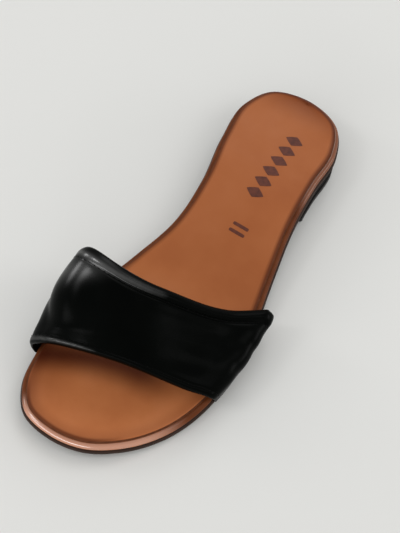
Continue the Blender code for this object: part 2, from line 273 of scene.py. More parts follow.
# %% Outline of the sole
LENGTH = 255.0
HEEL_BACK_X = 4.0
TOE_TIP_X = 6.5
SOLE_ROWS = (
    # station, medial, lateral
    (0.03, 27.2, 18.8),
    (0.10, 35.2, 27.9),
    (0.20, 32.8, 29.4),
    (0.32, 26.2, 32.8),
    (0.44, 24.8, 39.4),
    (0.56, 31.8, 46.6),
    (0.66, 38.2, 50.2),
    (0.76, 41.8, 50.0),
    (0.86, 40.4, 42.2),
    (0.94, 34.4, 27.6),
    (0.985, 24.4, 12.0),
)


def smoothstep(share):
    share = np.clip(share, 0.0, 1.0)
    return share * share * (3.0 - 2.0 * share)


def eased(value, start, end):
    """A soft rise from 0 at start to 1 at end; start may be the larger of the two."""
    return smoothstep((value - start) / (end - start))


def unit(vectors):
    return vectors / np.linalg.norm(vectors, axis=-1, keepdims=True)


def curve_through(knots, per_span, closed=False):
    """Points of a smooth curve through the knots, the same number in each span."""
    knots = np.asarray(knots, float)
    if closed:
        knots = np.vstack([knots[-1], knots, knots[:2]])
    steps = np.linalg.norm(np.diff(knots, axis=0), axis=1)[:, None]
    secants = np.diff(knots, axis=0) / steps
    slopes = np.empty_like(knots)
    slopes[1:-1] = (secants[:-1] * steps[1:] + secants[1:] * steps[:-1]) / (steps[1:] + steps[:-1])
    slopes[0] = 2.0 * secants[0] - slopes[1]
    slopes[-1] = 2.0 * secants[-1] - slopes[-2]
    t = np.linspace(0.0, 1.0, per_span, endpoint=False)[:, None]
    spans = range(1, len(knots) - 2) if closed else range(len(knots) - 1)
    points = [
        (1 + 2 * t) * (1 - t) ** 2 * knots[i]
        + t * (1 - t) ** 2 * steps[i] * slopes[i]
        + t * t * (3 - 2 * t) * knots[i + 1]
        + t * t * (t - 1) * steps[i] * slopes[i + 1]
        for i in spans
    ]
    if not closed:
        points.append(knots[-1:])
    return np.vstack(points)


def sole_outline(per_row):
    """The footbed's outline from the back of the heel up the medial side, round the toe and back."""
    medial = [(medial, station * LENGTH) for station, medial, _ in SOLE_ROWS]
    lateral = [(-lateral, station * LENGTH) for station, _, lateral in reversed(SOLE_ROWS)]
    knots = [(HEEL_BACK_X, 0.0), *medial, (TOE_TIP_X, LENGTH), *lateral]
    return curve_through(knots, per_row, closed=True)


def inward_normals(loop):
    """Unit normals that point into an anticlockwise loop."""
    along = unit(np.roll(loop, -1, axis=0) - np.roll(loop, 1, axis=0))
    return np.stack([-along[:, 1], along[:, 0]], axis=1)


READ_PER_ROW = 24
READ_LOOP = sole_outline(READ_PER_ROW)
READ_NORMALS = inward_normals(READ_LOOP)
TOE_INDEX = (len(SOLE_ROWS) + 1) * READ_PER_ROW
EDGE_READ = {
    "medial": (READ_LOOP[: TOE_INDEX + 1], READ_NORMALS[: TOE_INDEX + 1]),
    "lateral": (READ_LOOP[TOE_INDEX:][::-1], READ_NORMALS[TOE_INDEX:][::-1]),
}


def edge_x(side, along, outward=0.0):
    """X of the footbed's edge at a place along the foot, moved outward square to the edge."""
    loop, normals = EDGE_READ[side]
    x = np.interp(along, loop[:, 1], loop[:, 0])
    lean = np.interp(along, loop[:, 1], normals[:, 0])
    return x - outward / lean


def from_outline(points):
    """How far points are from the footbed's outline, seen from above."""
    outline = READ_LOOP[::2]
    return np.min(np.linalg.norm(points[:, None, :2] - outline, axis=2), axis=1)


footbed_corner = np.array(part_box("footbed")[0]) / MM
LAST_ORIGIN = np.array([*(footbed_corner[:2] - READ_LOOP.min(axis=0)), 0.0])
print("the last stands at", LAST_ORIGIN.round(2), "mm")

# %% [markdown]
# ## Heights of the layers
# Seen from the side the sole is low at the ball, rises over the shank to the heel and springs up a little
# at the toe. Every layer repeats that one curve at its own height, with a hair of air between the layers,
# as in the solids.

# %% Heights
HEEL_LIFT = 13.0
SHANK_START = 0.22 * LENGTH
BALL_START = 0.66 * LENGTH
TOE_SPRING_START = 0.80 * LENGTH
TOE_SPRING = 4.1
HEEL_BREAST = 65.0
OUTSOLE_THICK = 2.8
FOOTBED_THICK = 4.2
INSOLE_THICK = 1.5
TOPLIFT_THICK = 3.5
GAP = 0.3
HEEL_DISH = 1.2
HEEL_DISH_END = 0.40 * LENGTH


def sole_lift(along):
    """Height of the outsole's underside above the floor: heel, shank, flat ball and toe spring."""
    pitch = 1.0 - eased(along, SHANK_START, BALL_START)
    spring = np.clip((along - TOE_SPRING_START) / (LENGTH - TOE_SPRING_START), 0.0, None)
    return HEEL_LIFT * pitch + TOE_SPRING * spring**2


def outsole_top(along):
    return sole_lift(along) + OUTSOLE_THICK


def footbed_low(along):
    return outsole_top(along) + GAP


def footbed_top(along):
    return footbed_low(along) + FOOTBED_THICK


def insole_top(along):
    return footbed_top(along) + GAP + INSOLE_THICK


def heel_dish(across, along):
    """Depth of the soft hollow under the heel, deepest on the middle line."""
    return HEEL_DISH * (1.0 - across**2) * (1.0 - eased(along, 0.0, HEEL_DISH_END))


heel_height, ball_height = insole_top(np.array([SHANK_START, BALL_START])).round(1)
print("top of the insole at the heel", heel_height, "mm, at the ball", ball_height, "mm")

# %% [markdown]
# ## Making a mesh
# Every piece is a set of rings or rows of points, worked out with numpy and joined by faces. Blender's
# operators could sweep or bevel them, but with our own points each face is where the sizes say. The helpers
# put the points on the last's place in the frame, turn the faces outward and let the piece ride on the one
# body, root.


# %% Mesh helpers
SHARP_EDGE = math.radians(50)


def make_piece(name, points, faces, finishes, finish_of_face=None):
    work = bmesh.new()
    corners = [work.verts.new((point + LAST_ORIGIN) * MM) for point in points]
    for number, face in enumerate(faces):
        made = work.faces.new([corners[i] for i in face])
        made.material_index = finish_of_face[number] if finish_of_face is not None else 0
    bmesh.ops.recalc_face_normals(work, faces=work.faces)
    mesh = bpy.data.meshes.new(name)
    work.to_mesh(mesh)
    work.free()
    for finish in finishes:
        mesh.materials.append(finish.material)
    mesh.shade_smooth()
    mesh.set_sharp_from_angle(angle=SHARP_EDGE)
    piece = bpy.data.objects.new(name, mesh)
    bpy.context.scene.collection.objects.link(piece)
    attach(piece, "root")
    print(f"{name}: {len(mesh.vertices)} points, {len(mesh.polygons)} faces")
    return piece


def mark_points(piece, name, values):
    """Stores one number for each of the piece's points, for its finish to read."""
    marks = piece.data.attributes.new(name, "FLOAT", "POINT")
    marks.data.foreach_set("value", np.asarray(values, np.float32))


def join_rings(faces, start, count, rings):
    """Faces between neighbouring rings of count points each, the first of which begins at start."""
    for ring in range(rings - 1):
        upper = start + ring * count
        for i in range(count):
            j = (i + 1) % count
            faces.append((upper + i, upper + j, upper + count + j, upper + count + i))


def close_over(points, faces, start, count, columns, height):
    """Closes the ring that begins at start with rows across the foot; height takes across and along."""
    half = count // 2
    shares = np.linspace(0.0, 1.0, columns + 1)[1:-1]
    rows = []
    for i in range(1, half):
        medial, lateral = points[start + i], points[start + count - i]
        inner = medial + (lateral - medial) * shares[:, None]
        inner[:, 2] = height(2.0 * shares - 1.0, inner[:, 1])
        rows.append([start + i, *range(len(points), len(points) + columns - 1), start + count - i])
        points.extend(inner)
    for near, far in zip(rows[:-1], rows[1:]):
        for k in range(columns):
            faces.append((near[k], near[k + 1], far[k + 1], far[k]))
    for k in range(columns):
        faces.append((start, rows[0][k + 1], rows[0][k]))
        faces.append((start + half, rows[-1][k], rows[-1][k + 1]))


def sole_layer(levels, per_row, top_columns, top, low_columns, low):
    """Points and faces of a layer of the sole: rings down its edge, then a closed top and underside."""
    loop = sole_outline(per_row)
    normals = inward_normals(loop)
    points, faces = [], []
    for inset, height in levels:
        ring = loop + normals * inset
        points.extend(np.column_stack([ring, height(ring)]))
    count = len(loop)
    join_rings(faces, 0, count, len(levels))
    close_over(points, faces, 0, count, top_columns, top)
    close_over(points, faces, (len(levels) - 1) * count, count, low_columns, low)
    return points, faces


def rim_levels(rim, per_span, top):
    """Rings from a rim's rows of inset and depth below the top, rounded by a smooth curve."""
    rounded = curve_through(rim, per_span)
    return [(inset, lambda ring, drop=drop: top(ring[:, 1]) - drop) for inset, drop in rounded]


# %% [markdown]
# ## The outsole
# A thin sheet of dark brown rubber runs under the whole sandal and shows as a dark line below the rim. Its
# underside has a fine tread of cross ribs within a plain border. The ribs could be a bump, but then they
# would be missing from the mesh, so rows of real points go up and down. The rubber itself is matt, with a
# sanded edge.

# %% Sole rubber
SOLE_RUBBER = (0.030, 0.017, 0.013)
SOLE_WORN = (0.046, 0.027, 0.020)
SANDED = (0.25, 0.25, 1.0)


def sole_rubber_finish():
    finish = Finish("sole_rubber", SOLE_RUBBER, roughness=0.5, specular=0.12)
    finish.wander(size_mm=9.0, low=0.42, high=0.62)
    finish.mottle(14.0, (0.3, SOLE_RUBBER), (0.75, SOLE_WORN))
    sanded = finish.noise(1.2, detail=2.0, place=finish.stretched(SANDED))
    finish.bump(sanded, depth_mm=0.10, strength=0.5)
    return finish


sole_rubber = sole_rubber_finish()

# %% Outsole
OUTSOLE_RIM = (
    # inset, drop
    (0.3, 0.0),
    (-0.6, 0.5),
    (-0.6, OUTSOLE_THICK - 0.5),
    (0.4, OUTSOLE_THICK),
)
TREAD_BORDER = 5.5
TREAD_STEP = 0.7
TREAD_PITCH = 3.4
TREAD_DEPTH = 0.45
TREAD_START = 118.0
TREAD_END = 240.0
TREAD_FADE = 4.0
TREAD_SQUARE = 1.6


def tread_groove(along):
    """How far the grooves between the ribs are cut into the underside."""
    wave = smoothstep(0.5 + TREAD_SQUARE * np.sin(2.0 * math.pi * along / TREAD_PITCH))
    begins = eased(along, TREAD_START, TREAD_START + TREAD_FADE)
    ends = eased(along, TREAD_END, TREAD_END - TREAD_FADE)
    return TREAD_DEPTH * wave * (begins * ends)


def ribbed(along):
    return sole_lift(along) + tread_groove(along)


def make_outsole():
    levels = rim_levels(OUTSOLE_RIM, per_span=4, top=outsole_top)
    levels.append((TREAD_BORDER, lambda ring: sole_lift(ring[:, 1])))
    levels.append((TREAD_BORDER + TREAD_STEP, lambda ring: ribbed(ring[:, 1])))
    points, faces = sole_layer(
        levels, per_row=26,
        top_columns=6, top=lambda across, along: outsole_top(along),
        low_columns=8, low=lambda across, along: ribbed(along),
    )
    return make_piece("outsole_sheet", points, faces, [sole_rubber])


outsole = make_outsole()
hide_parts("outsole")

# %% [markdown]
# ## The heel
# Under the back of the outsole sits a low block of black lacquered board, and under it a rubber top piece
# that takes the wear. Both are flush with the footbed and end in a straight front, the breast. A Boolean
# could cut them from a full sole, but a clean ring is easier: the outline behind the breast, closed by a
# straight line with small round corners. Rings at several heights soften the edges.

# %% Heel rings
HEEL_PER_ROW = 16
BREAST_STEPS = 14
BREAST_CORNER = 1.6
CORNER_STEPS = 6


def heel_ring(inset):
    """The outline behind the breast, from the lateral corner round the back, then straight across."""
    loop = sole_outline(HEEL_PER_ROW)
    ring = loop + inward_normals(loop) * inset
    half = len(ring) // 2
    round_back = np.roll(ring, half, axis=0)
    wall = round_back[round_back[:, 1] < HEEL_BREAST - BREAST_CORNER]
    lateral_x = np.interp(HEEL_BREAST, ring[half:, 1][::-1], ring[half:, 0][::-1])
    medial_x = np.interp(HEEL_BREAST, ring[:half, 1], ring[:half, 0])
    bend = np.linspace(0.0, math.pi / 2.0, CORNER_STEPS)
    rise = BREAST_CORNER * (np.sin(bend) - 1.0)
    turn_in = BREAST_CORNER * (1.0 - np.cos(bend))
    medial_corner = np.column_stack([medial_x - turn_in, HEEL_BREAST + rise])
    lateral_corner = np.column_stack([lateral_x + turn_in, HEEL_BREAST + rise])
    straight = np.linspace(medial_corner[-1], lateral_corner[-1], BREAST_STEPS)[1:-1]
    return np.vstack([wall, medial_corner, straight, lateral_corner[::-1]])


def heel_layer(name, levels, finish):
    """Rings of the heel, top first: each level is an inset and a height along the foot."""
    points, faces = [], []
    for inset, height in levels:
        ring = heel_ring(inset)
        points.extend(np.column_stack([ring, height(ring[:, 1])]))
    count = len(ring)
    join_rings(faces, 0, count, len(levels))
    for start, height in ((0, levels[0][1]), (count * (len(levels) - 1), levels[-1][1])):
        middle = np.mean(points[start:start + count], axis=0)
        middle[2] = height(middle[1:2])[0]
        faces.extend((start + i, start + (i + 1) % count, len(points)) for i in range(count))
        points.append(middle)
    return make_piece(name, points, faces, [finish])


# %% Heel lacquer and heel rubber
HEEL_LACQUER = (0.009, 0.008, 0.008)
HEEL_RUBBER = (0.016, 0.014, 0.013)
BOARD_LAYERS = (0.04, 0.04, 1.0)


def heel_lacquer_finish():
    """Black lacquer over stacked board: the layers show as faint level lines under the gloss."""
    finish = Finish(
        "heel_lacquer", HEEL_LACQUER, roughness=0.3, specular=0.0, coat=0.10, coat_roughness=0.12)
    finish.wander(size_mm=6.0, low=0.24, high=0.38)
    board = finish.noise(2.6, detail=2.0, place=finish.stretched(BOARD_LAYERS))
    finish.bump(board, depth_mm=0.12, strength=0.6)
    return finish


def heel_rubber_finish():
    finish = Finish("heel_rubber", HEEL_RUBBER, roughness=0.6, specular=0.35)
    finish.wander(size_mm=5.0, low=0.5, high=0.72)
    finish.bump(finish.noise(0.6), depth_mm=0.06, strength=0.6)
    return finish


heel_lacquer = heel_lacquer_finish()
heel_rubber = heel_rubber_finish()

# %% Heel block and top piece
HEEL_TOP_INSET = 0.5
HEEL_FOOT_INSET = -0.1
TOPLIFT_INSET = -0.3
TOPLIFT_BEVEL = 0.6
HEEL_SOFTEN = 0.35
TOPLIFT_SOFTEN = 0.2


def level_at(height):
    return lambda along: np.full_like(along, height)


def block_levels():
    top, foot = HEEL_TOP_INSET, HEEL_FOOT_INSET
    low = TOPLIFT_THICK + GAP
    return (
        (top + HEEL_SOFTEN, lambda along: sole_lift(along) - GAP),
        (top, lambda along: sole_lift(along) - GAP - HEEL_SOFTEN),
        ((top + foot) / 2.0, lambda along: (sole_lift(along) - GAP + low) / 2.0),
        (foot, level_at(low + HEEL_SOFTEN)),
        (foot + HEEL_SOFTEN, level_at(low)),
    )


def toplift_levels():
    return (
        (TOPLIFT_INSET + TOPLIFT_SOFTEN, level_at(TOPLIFT_THICK)),
        (TOPLIFT_INSET, level_at(TOPLIFT_THICK - TOPLIFT_SOFTEN)),
        (TOPLIFT_INSET, level_at(TOPLIFT_BEVEL)),
        (TOPLIFT_INSET + TOPLIFT_BEVEL, level_at(0.0)),
    )


heel_block = heel_layer("heel_lacquered_block", block_levels(), heel_lacquer)
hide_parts("heel_block")
heel_toplift = heel_layer("heel_top_piece", toplift_levels(), heel_rubber)
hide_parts("heel_toplift")

# %% [markdown]
# ## The footbed and its rim
# The footbed is a board wrapped in leather. What shows of it is the rounded rim, inked dark brown. Round
# the toe it is polished, which gives the sandal's brightest highlight, and there its colour turns lighter:
# partly ink rubbed through, partly a painted highlight. A little of the same gloss and painted highlight
# lies on the outer side of the heel. A second material would end in a line there, so each point is marked
# with how polished it is. The rim is a short table of insets, rounded by a curve. Underneath, over the
# strap's lasted margins, the board is pared away for room.

# %% Rim leather
RIM_LEATHER = (0.150, 0.042, 0.013)
RIM_DARK = (0.100, 0.026, 0.009)
# Lighter rim colour where polished: partly rubbed-through ink, partly a painted highlight.
RIM_RUBBED_AND_HIGHLIGHT = (0.480, 0.165, 0.062)
RIM_COAT_IOR = 2.6


def rim_leather_finish():
    finish = Finish("rim_leather", RIM_LEATHER, roughness=0.34, specular=0.03, coat_roughness=0.18)
    finish.set("Coat IOR", RIM_COAT_IOR)
    polish = finish.marked("polish")
    finish.vary("Coat Weight", finish.ranged(polish, low=0.02, high=1.0, start=0.0, end=1.0))
    inked = finish.colours(finish.noise(16.0), (0.3, RIM_DARK), (0.62, RIM_LEATHER))
    # Where polished the colour turns lighter: partly rubbed-through ink, partly a painted highlight.
    finish.vary("Base Color", finish.blended(polish, inked, RIM_RUBBED_AND_HIGHLIGHT))
    finish.wander(size_mm=7.0, low=0.26, high=0.4)
    finish.bump(finish.noise(0.5), depth_mm=0.03, strength=0.5)
    return finish


rim_leather = rim_leather_finish()

# %% Strap margins under the footbed
STRAP_FEET = {"medial": (165.0, 219.0), "lateral": (137.5, 188.5)}
MARGIN_WIDTH = 12.0
MARGIN_THICK = 1.2
SEAT_CLEAR = 0.9
SEAT_EASE = 1.6


def seat_rise(ring):
    """How far the footbed's underside is pared away over the strap's margins."""
    x, along = ring[:, 0], ring[:, 1]
    rise = np.zeros(len(ring))
    for side, (back, front) in STRAP_FEET.items():
        from_edge = np.abs(edge_x(side, along) - x)
        within = smoothstep((along - back + SEAT_CLEAR + SEAT_EASE) / SEAT_EASE)
        within *= smoothstep((front + SEAT_CLEAR + SEAT_EASE - along) / SEAT_EASE)
        within *= smoothstep((MARGIN_WIDTH + SEAT_CLEAR + SEAT_EASE - from_edge) / SEAT_EASE)
        rise = np.maximum(rise, within * (MARGIN_THICK + GAP))
    return rise


# %% Footbed
FOOTBED_RIM = (
    # inset, drop
    (2.7, 0.0),
    (1.75, 0.20),
    (0.85, 0.75),
    (0.25, 1.6),
    (0.0, 2.5),
    (0.1, FOOTBED_THICK - 0.7),
    (0.6, FOOTBED_THICK),
)
SEAT_INSETS = (3.0, 6.0, 9.0, 12.0, 13.0, 14.5)
TOE_POLISH = (205.0, 232.0)
MEDIAL_POLISH = (31.0, 22.0)
HEEL_POLISH = (74.0, 56.0)
HEEL_SHINE_AND_HIGHLIGHT = 0.2


def rim_polish_and_highlight(points):
    """How polished the rim is, and how far painted highlight lightens it: fully round the toe, less on the
    outer side of the heel.
    """
    x, along = points[:, 0], points[:, 1]
    toe = eased(along, *TOE_POLISH) * eased(x, *MEDIAL_POLISH)
    heel = eased(along, *HEEL_POLISH) * (x < HEEL_BACK_X)
    return np.maximum(toe, HEEL_SHINE_AND_HIGHLIGHT * heel)


def footbed_underside(ring):
    return footbed_low(ring[:, 1]) + seat_rise(ring)


def rim_height(drop):
    """The rim's height at a drop below the footbed's top; its lower half follows the pared underside."""
    half = FOOTBED_THICK / 2.0
    low_share = smoothstep((drop - half) / half)
    return lambda ring: footbed_top(ring[:, 1]) - drop + low_share * seat_rise(ring)


def make_footbed():
    levels = [(inset, rim_height(drop)) for inset, drop in curve_through(FOOTBED_RIM, per_span=5)]
    levels += [(inset, footbed_underside) for inset in SEAT_INSETS]
    points, faces = sole_layer(
        levels, per_row=10,
        top_columns=12, top=lambda across, along: footbed_top(along) - heel_dish(across, along),
        low_columns=6, low=lambda across, along: footbed_low(along),
    )
    rim = make_piece("footbed_rim", points, faces, [rim_leather])
    mark_points(rim, "polish", rim_polish_and_highlight(np.array(points)))
    return rim


footbed = make_footbed()
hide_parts("footbed")

# %% [markdown]
# ## The insole
# A sock of smooth tan leather lies just inside the rim. Its border is pared thin and its cut edge inked,
# which makes the dark line round it. The leather has a soft sheen, a fine grain and slow changes of tone.
# It is burnished along the border and darker over its back half. Painted shade darkens the back of the heel
# and the place under the big toe, and a painted shadow of the strap lies beneath the strap's front edge.
# Ink has spread over the border at heel and toe. These shades are numbers marked on its points. The grain
# is too fine for geometry, so it is bump. The edge is the ring of faces round the sock, with a finish of
# its own.

# %% Insole leather
TAN_LEATHER = (0.510, 0.168, 0.057)
TAN_PALE = (0.556, 0.194, 0.073)
TAN_DEEP = (0.448, 0.138, 0.044)
TAN_BURNT_AND_SHADED = (0.185, 0.044, 0.013)
# Dark colour for ink at the border, and for the painted shadow beneath the strap.
TAN_INKED_AND_SHADOWED = (0.056, 0.008, 0.003)
EDGE_BROWN = (0.080, 0.026, 0.012)
EDGE_PALE = (0.130, 0.044, 0.020)


def tan_leather_finish():
    finish = Finish("tan_leather", TAN_LEATHER, roughness=0.42, specular=0.10)
    tan = finish.colours(
        finish.noise(34.0, detail=4.0), (0.28, TAN_DEEP), (0.5, TAN_LEATHER), (0.74, TAN_PALE))
    # Burnish and painted shade, then ink and the painted strap shadow, darken the tan.
    burnt = finish.blended(finish.marked("burnish_and_shade"), tan, TAN_BURNT_AND_SHADED)
    finish.vary("Base Color", finish.blended(finish.marked("ink_and_strap_shadow"), burnt, TAN_INKED_AND_SHADOWED))
    finish.wander(size_mm=11.0, low=0.36, high=0.5)
    finish.bump(finish.cells(0.9), depth_mm=0.035, strength=0.5)
    finish.bump(finish.noise(5.0), depth_mm=0.12, strength=0.4)
    return finish


def cut_edge_finish():
    finish = Finish("cut_edge", EDGE_BROWN, roughness=0.6, specular=0.04)
    finish.mottle(3.0, (0.3, EDGE_BROWN), (0.7, EDGE_PALE))
    finish.bump(finish.noise(0.4), depth_mm=0.05, strength=0.7)
    return finish


tan_leather = tan_leather_finish()
cut_edge = cut_edge_finish()

# %% Burnish and painted shade of the insole
EDGE_BURNT = 0.32
EDGE_FADE = (11.2, 4.2)
BACK_PAINTED_SHADE = 0.5
BACK_FADE = (24.0, 0.0)
BACK_HALF_DARK = 0.40
BACK_HALF_FADE = (180.0, 120.0)
BIG_TOE_PAINTED_SHADE = 0.45
BIG_TOE_ACROSS = (8.0, 34.0)
BIG_TOE_ALONG = (190.0, 210.0)


def burnish_and_shade(points):
    """How dark the leather is at each point: burnished along the edge, darker over the back half, painted
    shade at the heel's back and under the big toe.
    """
    x, along = points[:, 0], points[:, 1]
    edge = EDGE_BURNT * eased(from_outline(points), *EDGE_FADE)
    # Painted shade at the back of the heel, and darker over the back half.
    heel = BACK_PAINTED_SHADE * eased(along, *BACK_FADE) + BACK_HALF_DARK * eased(along, *BACK_HALF_FADE)
    # Painted shade under the big toe, beside the strap's front edge.
    big_toe_shade = BIG_TOE_PAINTED_SHADE * eased(x, *BIG_TOE_ACROSS) * eased(along, *BIG_TOE_ALONG)
    return np.maximum(edge, heel) + big_toe_shade


# %% Ink and painted strap shadow on the insole
INKED = 0.75
INKED_BORDER = (5.2, 3.4)
INKED_HEEL = (190.0, 140.0)
INKED_TOE = (232.0, 248.0)
# A painted shadow of the strap on the toes: a dark band beneath the strap's front edge.
STRAP_SHADOW_DARKNESS = 0.9
STRAP_SHADOW_LINE = (0.006, 0.29, 219.0)
STRAP_SHADOW_FADE = 17.0
STRAP_SHADOW_WIDTH = 33.0
STRAP_SHADOW_ACROSS = (-38.0, -10.0)


def ink_and_strap_shadow(points):
    """Dark at each point: ink along the border, and a painted shadow of the strap beneath its front edge.
    """
    x, along = points[:, 0], points[:, 1]
    beneath = np.polyval(STRAP_SHADOW_LINE, x) - along
    band = eased(beneath, 0.0, STRAP_SHADOW_FADE) * eased(beneath, STRAP_SHADOW_WIDTH, STRAP_SHADOW_WIDTH - STRAP_SHADOW_FADE)
    # Painted shadow: a dark band just behind the strap's front edge.
    strap_shadow = STRAP_SHADOW_DARKNESS * band * eased(x, *STRAP_SHADOW_ACROSS)
    inked_along = eased(along, *INKED_HEEL) + eased(along, *INKED_TOE)
    inked = INKED * eased(from_outline(points), *INKED_BORDER) * inked_along
    return np.maximum(strap_shadow, inked)


# %% Insole
INSOLE_RIM = (
    # inset, drop
    (4.2, 0.0),
    (3.0, 0.30),
    (2.4, 0.85),
    (2.4, INSOLE_THICK),
)
INSOLE_PER_ROW = 12
EDGE_FACE_DEPTH = 0.26


def make_insole():
    levels = rim_levels(INSOLE_RIM, per_span=5, top=insole_top)
    points, faces = sole_layer(
        levels, INSOLE_PER_ROW,
        top_columns=40, top=lambda across, along: insole_top(along) - heel_dish(across, along),
        low_columns=6,
        low=lambda across, along: insole_top(along) - INSOLE_THICK - heel_dish(across, along),
    )
    places = np.array(points)
    depth = insole_top(places[:, 1]) - places[:, 2]
    loop_points = len(levels) * len(sole_outline(INSOLE_PER_ROW))
    edge = [int(max(face) < loop_points and min(depth[list(face)]) > EDGE_FACE_DEPTH) for face in faces]
    sock = make_piece("insole_sock", points, faces, [tan_leather, cut_edge], edge)
    mark_points(sock, "burnish_and_shade", burnish_and_shade(places))
    mark_points(sock, "ink_and_strap_shadow", ink_and_strap_shadow(places))
    return sock


insole = make_insole()
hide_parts("insole")

# %% [markdown]
# ## The stamp on the insole
# Such a sock carries a dark mark pressed into the heel and a small one further forward. Here they are plain
# lozenges and two bars. An image could draw them, but a thin leaf that follows the insole's curve, a tenth
# of a millimetre proud, needs none and looks like ink pressed into leather.

# %% Stamp
STAMP_BROWN = (0.075, 0.017, 0.009)
STAMP_PALE = (0.135, 0.033, 0.016)
STAMP_PROUD = 0.10
STAMP_SUNK = 0.35
LEAVES = (
    # middle of the row, count, pitch, half sizes, squareness
    ((-4.0, 54.0), 6, 8.6, (5.6, 3.6), 1.15),
    ((-9.0, 100.0), 2, 4.4, (5.0, 1.0), 6.0),
)
LEAF_CORNERS = 24
LEAF_SHARES = np.linspace(0.97, 0.10, 6)


def stamp_finish():
    finish = Finish("stamp_brown", STAMP_BROWN, roughness=0.55, specular=0.3)
    finish.mottle(2.2, (0.3, STAMP_BROWN), (0.75, STAMP_PALE))
    finish.bump(finish.noise(0.5), depth_mm=0.04, strength=0.6)
    return finish


def leaf_outline(half_sizes, squareness):
    """A rounded lozenge, squareness 1, or a rounded bar, squareness high, about its own middle."""
    turn = np.linspace(0.0, 2.0 * math.pi, LEAF_CORNERS, endpoint=False)
    circle = np.column_stack([np.cos(turn), np.sin(turn)])
    return half_sizes * np.sign(circle) * np.abs(circle) ** (2.0 / squareness)


def insole_face(flat):
    """The insole's top under points given across and along."""
    border = -INSOLE_RIM[0][0]
    medial, lateral = edge_x("medial", flat[:, 1], border), edge_x("lateral", flat[:, 1], border)
    across = 2.0 * (medial - flat[:, 0]) / (medial - lateral) - 1.0
    return insole_top(flat[:, 1]) - heel_dish(across, flat[:, 1])


def add_leaf(points, faces, middle, outline):
    """A thin leaf on the insole: rings that shrink to the middle on top, and a closed underside."""
    start, count = len(points), len(outline)
    heights = [(1.0, -STAMP_SUNK)] + [(share, STAMP_PROUD) for share in LEAF_SHARES]
    for share, proud in heights:
        flat = np.array(middle) + outline * share
        points.extend(np.column_stack([flat, insole_face(flat) + proud]))
    join_rings(faces, start, count, len(heights))
    faces.append(tuple(range(start, start + count)))
    last = start + count * (len(heights) - 1)
    faces.append(tuple(range(last, last + count)))


def make_stamp():
    points, faces = [], []
    for (x, along), count, pitch, half_sizes, squareness in LEAVES:
        outline = leaf_outline(half_sizes, squareness)
        for number in range(count):
            add_leaf(points, faces, (x, along + (number - (count - 1) / 2.0) * pitch), outline)
    return make_piece("insole_stamp", points, faces, [stamp_finish()])


stamp = make_stamp()

# %% [markdown]
# ## The strap's form
# The strap is the upper: a padded band of soft black leather that leans back over the foot. Its front and
# back edges are given by where they stand on the sole and how high they rise, and every line between them
# is a blend of the two. This is the same rule that the solid was made by, only with more points, so the
# strap keeps its form.

# %% Strap edges
STRAP_EDGE_COLUMNS = (
    "medial_foot", "medial_top", "lateral_foot", "lateral_top", "bow", "medial_rise", "middle_rise",
    "lateral_rise", "medial_inset", "lateral_inset", "lateral_bulge",
)
STRAP_FRONT = (219.0, 221.0, 188.5, 192.5, 5.5, 19.5, 32.0, 18.5, 6.5, 14.0, 1.0)
STRAP_BACK = (165.0, 173.5, 137.5, 137.5, 15.5, 49.0, 43.0, 21.0, 5.3, 14.0, 6.0)
STRAP_WIDTH = 56.0
MEDIAL_PINCH = 7.0
PINCH_PLACE = 0.25
PINCH_SPREAD = 0.20
WALL_SHARE = 0.62
WALL_INSET = 0.25
MEDIAL_REACH = 2.8
LATERAL_REACH = 3.4
STRAP_THICK = 4.6
WALL_THICK = 1.8
WALL_GAP = 0.4
THICKEN_START = 8.0
THICKEN_END = 18.0
FOOT_RISE = 2.0
ARCH_PER_KNOT = 26


def strap_edge(share):
    """The strap's measures between its front edge, share 0, and its back edge, share 1."""
    blended = np.array(STRAP_FRONT) * (1.0 - share) + np.array(STRAP_BACK) * share
    return dict(zip(STRAP_EDGE_COLUMNS, blended))


def strap_line(share):
    """The strap's lining side at one place across its width, from the medial foot to the lateral."""
    edge = strap_edge(share)
    pinch = MEDIAL_PINCH * np.exp(-(((share - PINCH_PLACE) / PINCH_SPREAD) ** 2))
    medial_inset = edge["medial_inset"] + pinch
    medial_low, lateral_low = footbed_low(edge["medial_top"]), footbed_low(edge["lateral_top"])
    medial = edge_x("medial", edge["medial_top"], MEDIAL_REACH)
    lateral = edge_x("lateral", edge["lateral_top"], LATERAL_REACH)
    lateral_wall = lateral + WALL_INSET * edge["lateral_inset"] - edge["lateral_bulge"]
    middle = (medial + lateral) / 2.0
    knots = (
        (edge_x("medial", edge["medial_foot"], WALL_GAP), footbed_low(edge["medial_foot"]) + FOOT_RISE),
        (medial - WALL_INSET * medial_inset, medial_low + WALL_SHARE * edge["medial_rise"]),
        (medial - medial_inset, medial_low + edge["medial_rise"]),
        (middle, (medial_low + lateral_low) / 2.0 + edge["middle_rise"]),
        (lateral + edge["lateral_inset"], lateral_low + edge["lateral_rise"]),
        (lateral_wall, lateral_low + WALL_SHARE * edge["lateral_rise"]),
        (edge_x("lateral", edge["lateral_foot"], WALL_GAP), footbed_low(edge["lateral_foot"]) + FOOT_RISE),
    )
    x, height = curve_through(knots, ARCH_PER_KNOT).T
    side = np.clip((x - middle) / (medial - middle), -1.0, 1.0)
    centre = (edge["medial_top"] + edge["lateral_top"]) / 2.0
    slant = (edge["medial_top"] - edge["lateral_top"]) / 2.0
    along = centre + slant * side + edge["bow"] * (1.0 - side**2)
    walls = ((0, side, "medial"), (-1, -side, "lateral"))
    for end, towards, name in walls:
        down_wall = np.clip(1.0 - (height - height[end]) / edge[f"{name}_rise"], 0.0, 1.0) ** 2
        pull = edge[f"{name}_foot"] - along[end]
        along = along + pull * down_wall * smoothstep(towards) / smoothstep(towards[end])
    return np.column_stack([x, along, height])


